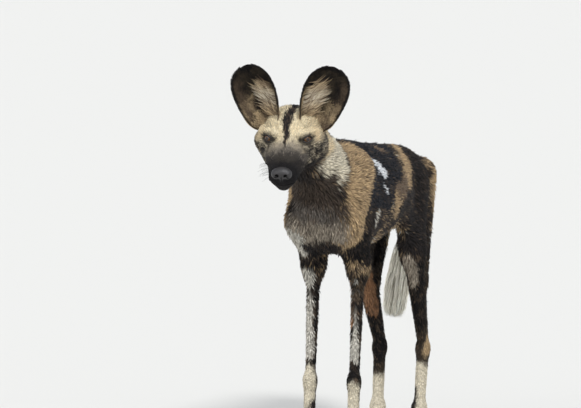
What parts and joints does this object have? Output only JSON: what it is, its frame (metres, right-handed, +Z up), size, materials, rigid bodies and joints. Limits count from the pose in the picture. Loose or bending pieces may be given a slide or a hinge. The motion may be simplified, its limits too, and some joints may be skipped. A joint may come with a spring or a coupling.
{
  "type": "african wild dog model",
  "caption": "Still, life-size model of a standing African wild dog with large round ears, a patchy coat and a hanging brush tail, resting on its paws.",
  "frame": {"origin": "on the floor under the middle of the box that the whole animal fills", "axes": "+Z up, the animal faces -Y, and its left side is towards +X"},
  "size_m": [0.2508, 1.0096, 0.8763],
  "materials": {
    "coat": "short matt fur in black, ochre, brown, grey and white patches",
    "nose_leather": "dark pebbled skin, slightly moist",
    "eye": "clear glossy front over a brown iris",
    "claw": "dark smooth horn"
  },
  "bodies": {
    "root": {"torso": "coat", "neck": "coat", "head": "coat", "muzzle": "coat", "tail": "coat", "tail_brush": "coat", "nose": "nose_leather", "ear_left": "coat", "eye_left": "eye", "foreleg_left": "coat", "forepaw_left": "coat", "thigh_left": "coat", "shank_left": "coat", "hindfoot_left": "coat", "hindpaw_left": "coat", "claw_fore_left_1": "claw", "claw_fore_left_2": "claw", "claw_fore_left_3": "claw", "claw_fore_left_4": "claw", "claw_hind_left_1": "claw", "claw_hind_left_2": "claw", "claw_hind_left_3": "claw", "claw_hind_left_4": "claw", "ear_right": "coat", "eye_right": "eye", "foreleg_right": "coat", "forepaw_right": "coat", "thigh_right": "coat", "shank_right": "coat", "hindfoot_right": "coat", "hindpaw_right": "coat", "claw_fore_right_1": "claw", "claw_fore_right_2": "claw", "claw_fore_right_3": "claw", "claw_fore_right_4": "claw", "claw_hind_right_1": "claw", "claw_hind_right_2": "claw", "claw_hind_right_3": "claw", "claw_hind_right_4": "claw"}
  },
  "joints": []
}
